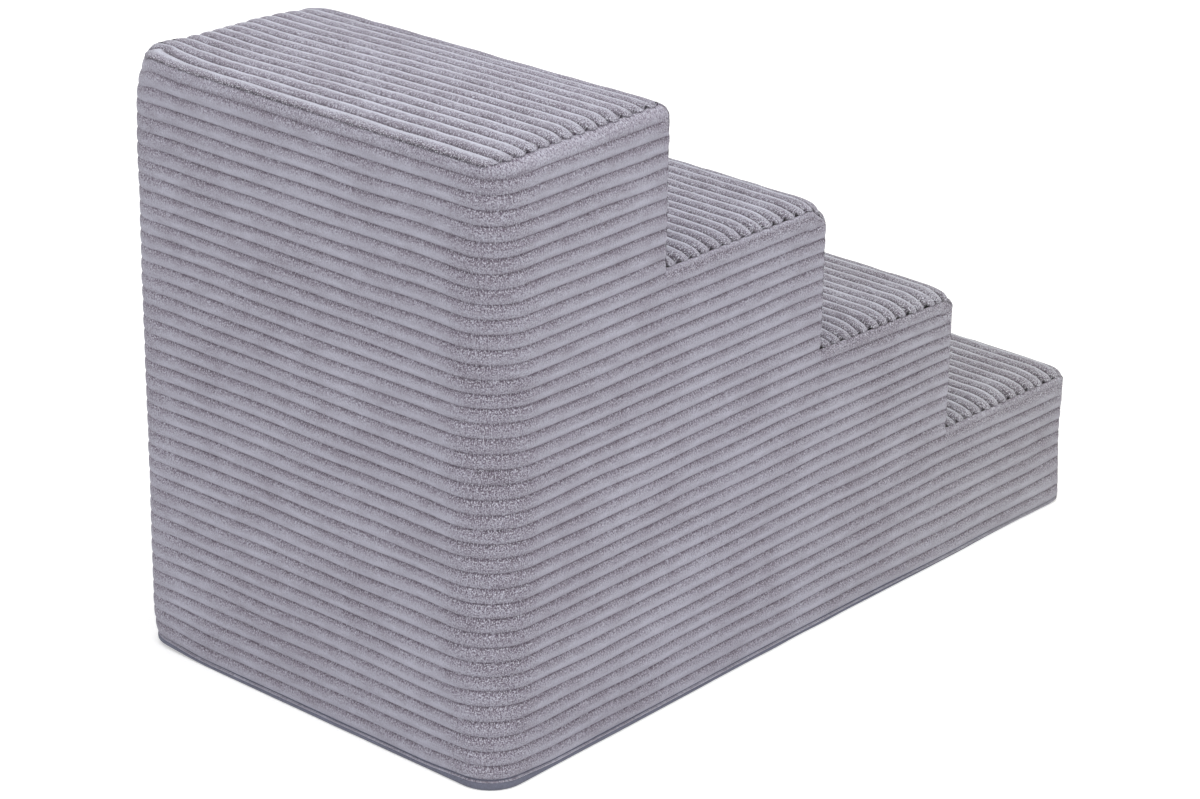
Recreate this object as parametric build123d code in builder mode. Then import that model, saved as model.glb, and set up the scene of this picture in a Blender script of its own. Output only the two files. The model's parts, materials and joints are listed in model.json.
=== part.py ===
"""Four-step foam pet stairs with a zipped corduroy cover.

Millimetres. The origin is on the floor, under the middle of the stairs. +X points from the tall back
to the low front step, +Y to the long side that carries the zip, +Z up.
"""

import os
from math import cos, pi, sin

from build123d import *

# Stairs, lowest step first
stair_width = 308.0
run_1 = 137.5
run_2 = 142.0
run_3 = 152.5
run_4 = 155.0
rise_1 = 102.5
rise_2 = 97.0
rise_3 = 100.0
rise_4 = 100.5
step_runs = [run_1, run_2, run_3, run_4]
step_rises = [rise_1, rise_2, rise_3, rise_4]
step_count = len(step_runs)
stair_length = sum(step_runs)
stair_height = sum(step_rises)

# Corduroy cover
cover_thickness = 5.0
wale_pitch = 9.63
wale_height = 2.6
corner_radius = 20.0
nose_radius = 12.0
inner_corner_radius = 2.0
edge_bevel = 4.5
strip_end_bevel = 3.0

# Base panel
base_thickness = 1.6
lip_height = 3.5
lip_thickness = 2.0
base_edge_radius = 0.8
base_front_gap = 1.0

# Zip, in the place of the lowest wale of the +Y side
opening_front_gap = 30.0
opening_back_gap = 48.0
tape_thickness = 0.5
tape_seam = 6.0
tape_end = 5.0
tape_edge_gap = 0.5
coil_width = 1.6
coil_height = 1.3
coil_radius = 0.5
coil_gap = 0.8
chain_front_gap = 4.0
chain_back_gap = 24.0
stop_length = 2.4
stop_height = 1.7
stop_radius = 0.3
channel_depth = 2.0
channel_gap = 0.5

# Slider
slider_length = 9.0
slider_width = 6.8
slider_corner = 0.6
plate_thickness = 0.9
tape_clearance = 0.2
coil_clearance = 0.3
slider_stop_gap = 0.3
flange_gap = 0.2
post_length = 2.0
post_width = 0.5
post_front_gap = 0.8
crown_length = 5.2
crown_width = 1.4
crown_leg = 0.9
crown_bar = 0.8
crown_opening = 1.4
crown_corner = 0.6

# Pull tab
pull_length = 22.0
pull_root_width = 4.2
pull_tip_width = 5.2
pull_thickness = 0.9
pull_slot_length = 3.8
pull_slot_gap = 0.3
pull_tip_radius = 1.6
pull_eye_radius = 1.1
pull_eye_inset = 3.2

# Every cut runs this far past the faces that it cuts
overrun = 1.0
# The block that trims the cover stays this far outside the crests of the wales
block_gap = 0.2

# Section of a wale, as shares of its width and height
wale_shares = [(0, 0), (0.25, 1), (0.75, 1)]
# Outline of a slider plate, as shares of its length and width from its middle, front end at +X
plate_shares = [(-0.5, 0.41), (0.05, 0.5), (0.36, 0.5), (0.5, 0.2)]

# Places that follow from the sizes
half_width = stair_width / 2
back_x = -stair_length / 2
front_x = stair_length / 2
riser_xs = [front_x - sum(step_runs[:k]) for k in range(step_count)]
tread_zs = [sum(step_rises[:k + 1]) for k in range(step_count)]
core_half_width = half_width - cover_thickness
core_back_x = back_x + cover_thickness
core_corner_radius = corner_radius - cover_thickness

opening_back_x = back_x + opening_back_gap
opening_front_x = front_x - opening_front_gap
opening_bottom_z = lip_height
opening_top_z = lip_height + wale_pitch
zip_z = (opening_bottom_z + opening_top_z) / 2
chain_back_x = opening_back_x + chain_back_gap
chain_front_x = opening_front_x - chain_front_gap
tape_y = core_half_width
coil_z_offset = (coil_gap + coil_width) / 2

slider_x = chain_front_x - slider_stop_gap - slider_length / 2
bottom_plate_y = tape_y - tape_thickness - tape_clearance
top_plate_y = tape_y + coil_height + coil_clearance
plate_face_y = top_plate_y + plate_thickness
hinge_y = plate_face_y + crown_opening / 2
slider_travel = chain_front_x - chain_back_x - slider_length - slider_stop_gap * 2


def is_near(value, target):
    return abs(value - target) < block_gap / 2


def stair_corners(inset, floor_z, rear_x):
    """Corners of the stepped side view, from the floor at the back round to the top, and its noses."""
    corners = [(rear_x, floor_z), (front_x - inset, floor_z)]
    noses = []
    for k in range(step_count):
        next_x = riser_xs[k + 1] - inset if k + 1 < step_count else rear_x
        noses.append((riser_xs[k] - inset, tread_zs[k] - inset))
        corners += [noses[-1], (next_x, tread_zs[k] - inset)]
    return corners, noses


def trimming_block(reach, rear_x, corner, bevel):
    """Stair block with rounded noses and corners, and bevelled along the edges of its sides."""
    corners, noses = stair_corners(-block_gap, 0, rear_x)
    feet = corners[3:-1:2]
    with BuildPart() as block:
        with BuildSketch(Plane.XZ) as side_view:
            with BuildLine():
                Polyline(*corners, close=True)
            make_face()
            fillet(vertices_at(side_view, noses), nose_radius + block_gap)
            fillet(vertices_at(side_view, feet), inner_corner_radius)
        extrude(amount=reach, both=True)
        fillet(block.edges().filter_by(Axis.Z).group_by(Axis.X)[0], corner)
        sides = block.edges().filter_by(
            lambda e: is_near(abs(e.center().Y), reach)
            and e.center().X > rear_x + corner + overrun
            and e.center().Z > overrun
        )
        back_top = block.edges().group_by(Axis.Z)[-1].filter_by(
            lambda e: e.center().X < rear_x + corner
        )
        chamfer(sides + back_top, bevel)
    return block.part


def vertices_at(sketch, points):
    return sketch.vertices().filter_by(
        lambda v: any(is_near(v.X, x) and is_near(v.Y, z) for x, z in points)
    )


def wale_stations(lengths):
    """Distances and lifts along a row of wales of these lengths, from groove to groove."""
    stations = []
    start = 0
    for length in lengths:
        stations += [(start + length * a, wale_height * b) for a, b in wale_shares]
        start += length
    return stations + [(start, 0)]


def slab_front_x(k):
    return riser_xs[k] - cover_thickness


def slab_bottom_z(k):
    return base_thickness if k == 0 else tread_zs[k - 1] - cover_thickness


# Foam core: one glued slab for each step
def foam_slab(k):
    slab_top_z = tread_zs[k] - cover_thickness
    with BuildPart() as slab:
        with BuildSketch(Plane.XY.offset(slab_bottom_z(k))) as plan:
            with Locations(((core_back_x + slab_front_x(k)) / 2, 0)):
                Rectangle(slab_front_x(k) - core_back_x, core_half_width * 2)
            fillet(plan.vertices().group_by(Axis.X)[0], core_corner_radius)
        extrude(amount=slab_top_z - slab_bottom_z(k))
        nose = slab.edges().filter_by(Axis.Y).group_by(Axis.Z)[-1].sort_by(Axis.X)[-1]
        fillet(nose, nose_radius - cover_thickness)
        if k == 0:
            channel_top = opening_top_z + tape_seam + channel_gap
            with BuildSketch(Plane.XZ.offset(-tape_y - overrun)):
                with Locations(((opening_back_x + opening_front_x) / 2, channel_top / 2)):
                    Rectangle(opening_front_x - opening_back_x + 2 * (tape_end + channel_gap), channel_top)
            extrude(amount=channel_depth + overrun, mode=Mode.SUBTRACT)
    slab.part.label = f"foam_slab_{k + 1}"
    return slab.part


# Corduroy band round the -Y side, the back and the +Y side, wales horizontal
band_height = stair_height - lip_height
band_wales = [wale_pitch] * int(band_height / wale_pitch)
band_wales[-1] = band_height + overrun - sum(band_wales[:-1])
with BuildPart() as wall_band:
    with BuildLine():
        band_path = FilletPolyline(
            (front_x, -core_half_width),
            (core_back_x, -core_half_width),
            (core_back_x, core_half_width),
            (front_x, core_half_width),
            radius=core_corner_radius,
        )
    section_plane = Plane(origin=(front_x, -core_half_width, 0), x_dir=(0, -1, 0), z_dir=(-1, 0, 0))
    groove_out = cover_thickness - wale_height
    with BuildSketch(section_plane):
        with BuildLine():
            outside = [(groove_out + lift, lip_height + z) for z, lift in wale_stations(band_wales)]
            Polyline(*outside, (0, stair_height + overrun), (0, lip_height), close=True)
        make_face()
    sweep(path=band_path)
    add(
        trimming_block(
            half_width + block_gap, back_x - block_gap, corner_radius + block_gap, edge_bevel
        ),
        mode=Mode.INTERSECT,
    )
    with BuildSketch(Plane.XZ.offset(-half_width - overrun)):
        with Locations(((opening_back_x + opening_front_x) / 2, opening_top_z / 2)):
            Rectangle(opening_front_x - opening_back_x, opening_top_z)
    extrude(amount=cover_thickness + overrun * 2, mode=Mode.SUBTRACT)
wall_band.part.label = "wall_band"


# Corduroy strip over the risers and treads, wales across the width
strip_bend = nose_radius - wale_height


def strip_lengths(k):
    """Lengths of the groove line of step k: up its riser, round its nose and back over its tread."""
    foot_z = base_thickness if k == 0 else tread_zs[k - 1]
    rear_x = riser_xs[k + 1] - wale_height if k + 1 < step_count else core_back_x
    rise = tread_zs[k] - wale_height - strip_bend - foot_z
    run = riser_xs[k] - wale_height - strip_bend - rear_x
    return rise, strip_bend * pi / 2, run


def strip_point(k, distance, lift):
    """Point at a distance along the groove line of step k, lifted off it towards the outside."""
    rise, bend, run = strip_lengths(k)
    centre_x = riser_xs[k] - wale_height - strip_bend
    centre_z = tread_zs[k] - wale_height - strip_bend
    if distance < rise:
        return (centre_x + strip_bend + lift, centre_z - rise + distance)
    if distance < rise + bend:
        angle = (distance - rise) / strip_bend
        reach = strip_bend + lift
        return (centre_x + reach * cos(angle), centre_z + reach * sin(angle))
    return (centre_x - (distance - rise - bend), centre_z + strip_bend + lift)


def strip_points(k):
    length = sum(strip_lengths(k))
    wale_count = round(length / wale_pitch)
    return [strip_point(k, d, lift) for d, lift in wale_stations([length / wale_count] * wale_count)]


with BuildPart() as step_strip:
    with BuildSketch(Plane.XZ):
        with BuildLine():
            outside = [point for k in range(step_count) for point in strip_points(k)]
            Polyline(*outside, (core_back_x, base_thickness), close=True)
        make_face()
    extrude(amount=core_half_width + overrun, both=True)
    inner_corners, inner_noses = stair_corners(
        cover_thickness, base_thickness - overrun, core_back_x - overrun
    )
    with BuildSketch(Plane.XZ) as inside:
        with BuildLine():
            Polyline(*inner_corners, close=True)
        make_face()
        fillet(vertices_at(inside, inner_noses), nose_radius - cover_thickness)
    extrude(amount=half_width, both=True, mode=Mode.SUBTRACT)
    add(
        trimming_block(core_half_width, core_back_x, core_corner_radius, strip_end_bevel),
        mode=Mode.INTERSECT,
    )
step_strip.part.label = "step_strip"


# Base panel: a flat sheet under the foam, turned up as a lip round the sides and the back
lip_reach = core_half_width + lip_thickness
lip_back_x = core_back_x - lip_thickness
with BuildPart() as base_panel:
    with BuildSketch() as sheet_plan:
        with Locations(((lip_back_x + front_x - base_front_gap) / 2, 0)):
            Rectangle(front_x - base_front_gap - lip_back_x, lip_reach * 2)
        fillet(sheet_plan.vertices().group_by(Axis.X)[0], core_corner_radius + lip_thickness)
    extrude(amount=lip_height)
    with BuildSketch(Plane.XY.offset(base_thickness)) as inside_plan:
        with Locations(((core_back_x + front_x + overrun) / 2, 0)):
            Rectangle(front_x + overrun - core_back_x, core_half_width * 2)
        fillet(inside_plan.vertices().group_by(Axis.X)[0], core_corner_radius)
    extrude(amount=lip_height, mode=Mode.SUBTRACT)
    with BuildSketch(Plane.XY.offset(base_thickness)):
        with Locations((front_x, 0)):
            Rectangle(cover_thickness * 2, stair_width)
    extrude(amount=lip_height, mode=Mode.SUBTRACT)
    floor_rim = base_panel.edges().group_by(Axis.Z)[0]
    fillet(floor_rim, base_edge_radius)
base_panel.part.label = "base_panel"


# Zip tapes, sewn behind the band's hem and behind the base's lip
def zip_tape(low_z, high_z, name):
    with BuildPart() as tape:
        with BuildSketch(Plane.XZ.offset(-tape_y)):
            with Locations(((opening_back_x + opening_front_x) / 2, (low_z + high_z) / 2)):
                Rectangle(opening_front_x - opening_back_x + tape_end * 2, high_z - low_z)
        extrude(amount=tape_thickness)
    tape.part.label = name
    return tape.part


tape_edge = coil_gap / 2 + tape_edge_gap
zip_tape_upper = zip_tape(zip_z + tape_edge, opening_top_z + tape_seam, "zip_tape_upper")
zip_tape_lower = zip_tape(base_thickness, zip_z - tape_edge, "zip_tape_lower")


# Coil rows of the closed zip, each in its outer shape, with room for the slider's post between them
def zip_coil(side, name):
    with BuildPart() as coil:
        with BuildSketch(Plane.YZ.offset(chain_back_x)):
            with Locations((tape_y + coil_height / 2, zip_z + side * coil_z_offset)):
                RectangleRounded(coil_height, coil_width, coil_radius)
        extrude(amount=chain_front_x - chain_back_x)
    coil.part.label = name
    return coil.part


zip_coil_upper = zip_coil(1, "zip_coil_upper")
zip_coil_lower = zip_coil(-1, "zip_coil_lower")


# Stops: one on each tape at the closed end, one across both tapes at the other
with BuildPart() as zip_top_stops:
    with BuildSketch(Plane.XZ.offset(-tape_y)):
        for side in (-1, 1):
            with Locations((chain_front_x + stop_length / 2, zip_z + side * coil_z_offset)):
                RectangleRounded(stop_length, coil_width, stop_radius)
    extrude(amount=-stop_height)
zip_top_stops.part.label = "zip_top_stops"

with BuildPart() as zip_bottom_stop:
    with BuildSketch(Plane.XZ.offset(-tape_y)):
        with Locations((chain_back_x - stop_length / 2, zip_z)):
            RectangleRounded(stop_length, coil_z_offset * 2 + coil_width, stop_radius)
    extrude(amount=-stop_height)
zip_bottom_stop.part.label = "zip_bottom_stop"


# Slider: two plates joined by a post, flanges that hold the coils, and a crown for the pull
def plate_points():
    """Outline of a slider plate, wide and pointed at the front, narrower at the tail."""
    right = [(slider_x + a * slider_length, zip_z + b * slider_width) for a, b in plate_shares]
    left = [(slider_x + a * slider_length, zip_z - b * slider_width) for a, b in plate_shares]
    return right + left[::-1]


with BuildPart() as zip_slider:
    with BuildSketch(Plane.XZ.offset(-plate_face_y)) as top_plate:
        with BuildLine():
            Polyline(*plate_points(), close=True)
        make_face()
        fillet(top_plate.vertices(), slider_corner)
    extrude(amount=plate_thickness + coil_height)
    with BuildSketch(Plane.XZ.offset(-top_plate_y)):
        with Locations((slider_x, zip_z)):
            coil_space = (coil_z_offset + flange_gap) * 2 + coil_width
            Rectangle(slider_length + overrun, coil_space)
    extrude(amount=coil_height + overrun, mode=Mode.SUBTRACT)
    with BuildSketch(Plane.XZ.offset(-bottom_plate_y)) as bottom_plate:
        with BuildLine():
            Polyline(*plate_points(), close=True)
        make_face()
        fillet(bottom_plate.vertices(), slider_corner)
    extrude(amount=plate_thickness)
    with BuildSketch(Plane.XZ.offset(-bottom_plate_y)):
        with Locations((slider_x + (slider_length - post_length) / 2 - post_front_gap, zip_z)):
            Rectangle(post_length, post_width)
    extrude(amount=bottom_plate_y - top_plate_y)
    with BuildSketch(Plane.XY.offset(zip_z - crown_width / 2)) as crown:
        with Locations((slider_x, plate_face_y)):
            Rectangle(crown_length, crown_opening + crown_bar, align=(Align.CENTER, Align.MIN))
            fillet(crown.vertices().group_by(Axis.Y)[-1], crown_corner)
        with Locations((slider_x, plate_face_y)):
            Rectangle(
                crown_length - crown_leg * 2,
                crown_opening,
                align=(Align.CENTER, Align.MIN),
                mode=Mode.SUBTRACT,
            )
    extrude(amount=crown_width)
zip_slider.part.label = "zip_slider"


# Pull tab: its round root bar lies in the crown, and its slot passes over the crown's legs
with BuildPart() as zip_pull:
    with BuildSketch(Plane.XZ.offset(-hinge_y - pull_thickness / 2)) as tab:
        tip_x = slider_x - pull_length
        with BuildLine():
            Polyline(
                (slider_x, zip_z - pull_root_width / 2),
                (slider_x, zip_z + pull_root_width / 2),
                (tip_x, zip_z + pull_tip_width / 2),
                (tip_x, zip_z - pull_tip_width / 2),
                close=True,
            )
        make_face()
        fillet(tab.vertices().group_by(Axis.X)[0], pull_tip_radius)
        with Locations((slider_x - pull_slot_length / 2, zip_z)):
            Rectangle(pull_slot_length, crown_width + pull_slot_gap * 2, mode=Mode.SUBTRACT)
        with Locations((tip_x + pull_eye_inset, zip_z)):
            Circle(pull_eye_radius, mode=Mode.SUBTRACT)
    extrude(amount=pull_thickness)
    with BuildSketch(Plane.XY.offset(zip_z - pull_root_width / 2)):
        with Locations((slider_x, hinge_y)):
            Circle(pull_thickness / 2)
    extrude(amount=pull_root_width)
zip_pull.part.label = "zip_pull"


os.makedirs("parts", exist_ok=True)
pieces = [foam_slab(k) for k in range(step_count)]
pieces += [wall_band.part, step_strip.part, base_panel.part]
pieces += [zip_tape_upper, zip_tape_lower, zip_coil_upper, zip_coil_lower]
pieces += [zip_top_stops.part, zip_bottom_stop.part, zip_slider.part, zip_pull.part]
for piece in pieces:
    export_step(piece, f"parts/{piece.label}.step")

print(f"slider travel {slider_travel:.1f} mm, hinge at {slider_x:.2f}, {hinge_y:.2f}, {zip_z:.3f}")
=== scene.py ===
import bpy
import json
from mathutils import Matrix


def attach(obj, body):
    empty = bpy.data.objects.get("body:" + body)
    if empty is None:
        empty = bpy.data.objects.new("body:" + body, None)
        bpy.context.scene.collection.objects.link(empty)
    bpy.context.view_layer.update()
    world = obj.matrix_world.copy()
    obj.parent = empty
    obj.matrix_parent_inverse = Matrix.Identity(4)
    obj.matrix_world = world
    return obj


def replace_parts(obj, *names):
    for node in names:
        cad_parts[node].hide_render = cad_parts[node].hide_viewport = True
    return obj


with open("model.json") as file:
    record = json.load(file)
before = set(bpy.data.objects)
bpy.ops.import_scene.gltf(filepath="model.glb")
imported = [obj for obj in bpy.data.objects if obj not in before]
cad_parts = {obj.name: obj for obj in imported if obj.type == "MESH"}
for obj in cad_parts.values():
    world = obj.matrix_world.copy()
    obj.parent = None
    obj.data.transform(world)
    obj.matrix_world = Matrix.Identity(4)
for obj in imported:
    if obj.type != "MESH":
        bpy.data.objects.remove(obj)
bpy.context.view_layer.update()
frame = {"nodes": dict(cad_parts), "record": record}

import json
import math
import bpy
import numpy as np
from mathutils import Matrix
from mathutils.bvhtree import BVHTree

MM = 0.001

# Sizes, in millimetres
HALF = 154.0  # half the width
TOP = 400.0
BACK = -293.5
FRONT = 293.5
RISER = [295.2, 156.0, 14.0, -140.2]
# tread levels half way across, lowest step first: rear end, front end, and the crown between them
REAR = [103.6, 203.8, 302.6, 399.8]
AHEAD = [102.0, 200.4, 301.0, 399.7]
CROWN = [0.8, 0.8, 1.2, 4.2]
NOSE = [9.5, 13.5, 16.5, 6.0]
INNER = 3.0  # radius at the foot of a riser
# how far the side seam lies under that level at the rear and at the front, and in from the side
SINK_REAR = [5.3, 5.3, 5.2, 1.2]
SINK_AHEAD = [7.6, 7.5, 4.9, 1.4]
# how much deeper it cuts the corner over the nose
NOSE_CUT = [1.3, 2.4, 3.6, 0.0]
# the far top edge falls towards the nose, and more at its tip
FAR_DROP, TIP_DROP = 4.2, 1.6
# the top tread's seam rises to the nose on the near side and falls on the far one
NEAR_RISE, FAR_FALL = 1.5, 1.4
# the cover lies lower at the far back corner, higher just beside it, and lower at the far nose
CORNER_DROP, BESIDE_RISE, NOSE_DROP = 3.2, 1.4, 2.6
NEAR_CORNER, FAR_CORNER = 15.0, 26.0  # the back corners' radii at the top seam
SEAM_IN = [1.0, 1.0, 1.0, 5.0]  # how far in from the side the strip is sewn to the band
RISER_SINK = 2.2  # how deep the side seam lies along a riser
FOOT_LEAN = 4.2  # how far the lowest riser's foot leans back
# the wales of the band and of the strip, the strip's first one, and the number of the band's grooves
WALE, STRIP_WALE, FIRST_WALE, GROOVES = 9.63, 10.05, 12.5, 41
# how deep the wales are and how square
STRIP_DEPTH, STRIP_POWER = 2.8, 2.1
BAND_DEPTH, BAND_POWER = 1.7, 3.0
STITCH = 3.1  # the stitches of the top's back seam
HEM = 3.5  # the band's hem over the floor
SHARES = np.array([0.0, 0.035, 0.085, 0.16, 0.27, 0.41, 0.59, 0.73, 0.84, 0.915, 0.965])  # rows of one wale
REACH = 21.0  # how far in from the side the strip's edge starts to fall
TURN = 40.0  # how far from the back face and the sides the back corners' columns reach
CORNER = 16.0  # how far from a nose the band's rows bend to follow it
BACK_ROLL = 2.6  # how far the band turns in under the seam along the back
NOWHERE = 999.0  # stands for a seam that isn't near
OPEN = (-245.5, 263.5)  # the zip's opening along the far side
CHAIN = (-221.3, 259.3)  # the coils' ends
COIL_SIDE, GUARD_SIDE = 149.66, 146.9  # how far out the coils and the cloth behind them lie
# the camera fitted to the photograph's edges: places in metres, and its tilt in degrees
CAMERA = (-1.67921, -1.44145, 1.07955)
CAMERA_AIM = (-0.03198, -0.00645, 0.13447)
CAMERA_ROLL = 0.9

scene = bpy.context.scene
for extra in [o for o in scene.objects if o.type in {"LIGHT", "CAMERA"}]:
    bpy.data.objects.remove(extra)


# Helpers
def smooth(x, start, end):
    """A smooth step from 0 at the start to 1 at the end, which may lie below the start."""
    t = np.clip((x - start) / (end - start), 0, 1)
    return t * t * (3 - 2 * t)


def fading(x, reach):
    """1 at 0, falling evenly to 0 at the reach."""
    return np.clip(1 - x / reach, 0, 1)


def drift(u, v, cell_u, cell_v, seed):
    """Smooth noise from -1 to 1 over two lengths."""
    grid = np.random.default_rng(seed).uniform(-1, 1, (67, 71))
    x, y = np.broadcast_arrays(np.asarray(u, float) / cell_u, np.asarray(v, float) / cell_v)
    i, j = np.floor(x).astype(int), np.floor(y).astype(int)
    fx, fy = x - i, y - j
    fx, fy = fx * fx * (3 - 2 * fx), fy * fy * (3 - 2 * fy)

    def at(a, b):
        return grid[a % 67, b % 71]

    low = at(i, j) * (1 - fx) + at(i + 1, j) * fx
    high = at(i, j + 1) * (1 - fx) + at(i + 1, j + 1) * fx
    return low * (1 - fy) + high * fy


def rib(p, power):
    """The height of one wale from 0 in the groove to 1 on the crest, over its width."""
    return 1 - np.abs(2 * p - 1) ** power


def distances(places):
    """The distances along a row of places in plan."""
    return np.concatenate([[0], np.cumsum(np.hypot(*np.diff(places, axis=0).T))])


def unit(vectors):
    return vectors / np.maximum(np.linalg.norm(vectors, axis=-1, keepdims=True), 1e-9)


def facing(place, aim, roll=0.0):
    """The matrix of a light or camera at a place, turned to its aim and then by a roll in degrees."""
    back_axis = unit(np.array(place) - np.array(aim))
    level = unit(np.cross((0, 0, 1), back_axis))
    rise = np.cross(back_axis, level)
    roll = math.radians(roll)
    right = level * math.cos(roll) + rise * math.sin(roll)
    turn = Matrix(np.array([right, np.cross(back_axis, right), back_axis]).T.tolist()).to_4x4()
    turn.translation = place
    return turn


def new_piece(name, points, faces):
    """An object with a mesh whose points are given in millimetres."""
    mesh = bpy.data.meshes.new(name)
    mesh.from_pydata((points * MM).tolist(), [], faces)
    piece = bpy.data.objects.new(name, mesh)
    scene.collection.objects.link(piece)
    return piece


def shade_smooth(mesh):
    mesh.polygons.foreach_set("use_smooth", np.ones(len(mesh.polygons), bool))
    mesh.update()


def sheet_mesh(name, points, uv, keep=None, flip=False, **marks):
    """A quad sheet over a grid of points, with its cloth coordinates and its marks."""
    rows, cols = points.shape[:2]
    index = np.arange(rows * cols).reshape(rows, cols)
    quads = np.stack([index[:-1, :-1], index[:-1, 1:], index[1:, 1:], index[1:, :-1]], -1)
    quads = quads.reshape(-1, 4)
    if keep is not None:
        quads = quads[keep.reshape(-1)]
    if flip:
        quads = quads[:, ::-1]
    used, corner = np.unique(quads, return_inverse=True)
    corner = corner.reshape(-1, 4)
    piece = new_piece(name, points.reshape(-1, 3)[used], corner.tolist())
    mesh = piece.data
    layer = mesh.uv_layers.new(name="cloth")
    layer.data.foreach_set("uv", (uv.reshape(-1, 2)[used] * MM)[corner.reshape(-1)].ravel())
    for label, values in marks.items():
        mark = mesh.attributes.new(label, "FLOAT", "POINT")
        values = np.broadcast_to(values, (rows, cols)).reshape(-1)[used]
        mark.data.foreach_set("value", values.astype(np.float32))
    shade_smooth(mesh)
    return piece


# Node materials
class Nodes:
    """Short calls for building the nodes of a material or a world."""

    def __init__(self, owner, end="ShaderNodeOutputMaterial"):
        owner.use_nodes = True
        self.owner = owner
        self.tree = owner.node_tree
        self.tree.nodes.clear()
        self.out = self.tree.nodes.new(end)

    def add(self, kind, how=None, **inputs):
        """A new node whose inputs are named, or numbered as i0, i1 and so on."""
        node = self.tree.nodes.new(kind)
        if how:
            node.operation = how
        for key, value in inputs.items():
            self.feed(node, key.replace("_", " "), value)
        return node

    def feed(self, node, key, value):
        socket = node.inputs[int(key[1:])] if key[0] == "i" and key[1:].isdigit() else node.inputs[key]
        if isinstance(value, bpy.types.NodeSocket):
            self.tree.links.new(value, socket)
        else:
            socket.default_value = value

    def finish(self, node):
        self.tree.links.new(node.outputs[0], self.out.inputs[0])
        return self.owner

    def math(self, how, a, b=0.0, c=0.0):
        return self.add("ShaderNodeMath", how, i0=a, i1=b, i2=c).outputs[0]

    def times(self, a, b):
        return self.math("MULTIPLY", a, b)

    def wave(self, place, turn):
        """The sine of a place times a number of turns."""
        return self.math("SINE", self.times(place, turn))

    def vary(self, value, noise, amount):
        """The value, made to vary by an amount of a noise round its middle."""
        return self.math("ADD", value, self.times(self.math("SUBTRACT", noise, 0.5), amount))

    def ramp(self, value, low, high, out_low=0.0, out_high=1.0):
        node = self.add("ShaderNodeMapRange", i0=value, i1=low, i2=high, i3=out_low, i4=out_high)
        node.interpolation_type = "SMOOTHSTEP"
        return node.outputs[0]

    def scaled(self, vector, x, y):
        return self.add("ShaderNodeMapping", Vector=vector, Scale=(x, y, 1)).outputs[0]

    def noise(self, vector, scale, detail=2.0, rough=0.5):
        node = self.add("ShaderNodeTexNoise", Vector=vector, Scale=scale, Detail=detail, Roughness=rough)
        return node.outputs[0]

    def mark(self, name):
        node = self.tree.nodes.new("ShaderNodeAttribute")
        node.attribute_type = "GEOMETRY"
        node.attribute_name = name
        return node.outputs["Fac"]

    def cloth(self):
        node = self.tree.nodes.new("ShaderNodeUVMap")
        node.uv_map = "cloth"
        return node.outputs[0]

    def place(self):
        return self.add("ShaderNodeTexCoord").outputs["Object"]

    def tint(self, colour, factor):
        """The colour times a factor."""
        return self.add("ShaderNodeVectorMath", "SCALE", i0=colour, Scale=factor).outputs[0]

    def mix(self, factor, a, b):
        node = self.tree.nodes.new("ShaderNodeMix")
        node.data_type = "RGBA"
        self.feed(node, "i0", factor)
        for key, colour in (("i6", a), ("i7", b)):
            self.feed(node, key, colour if isinstance(colour, bpy.types.NodeSocket) else (*colour, 1))
        return node.outputs[2]

    def bump(self, height, strength, distance):
        return self.add("ShaderNodeBump", Height=height, Strength=strength, Distance=distance).outputs[0]

    def shader(self, colour, rough, normal, **more):
        return self.finish(self.add(
            "ShaderNodeBsdfPrincipled", Base_Color=colour, Roughness=rough, Normal=normal, **more,
        ))


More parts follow.
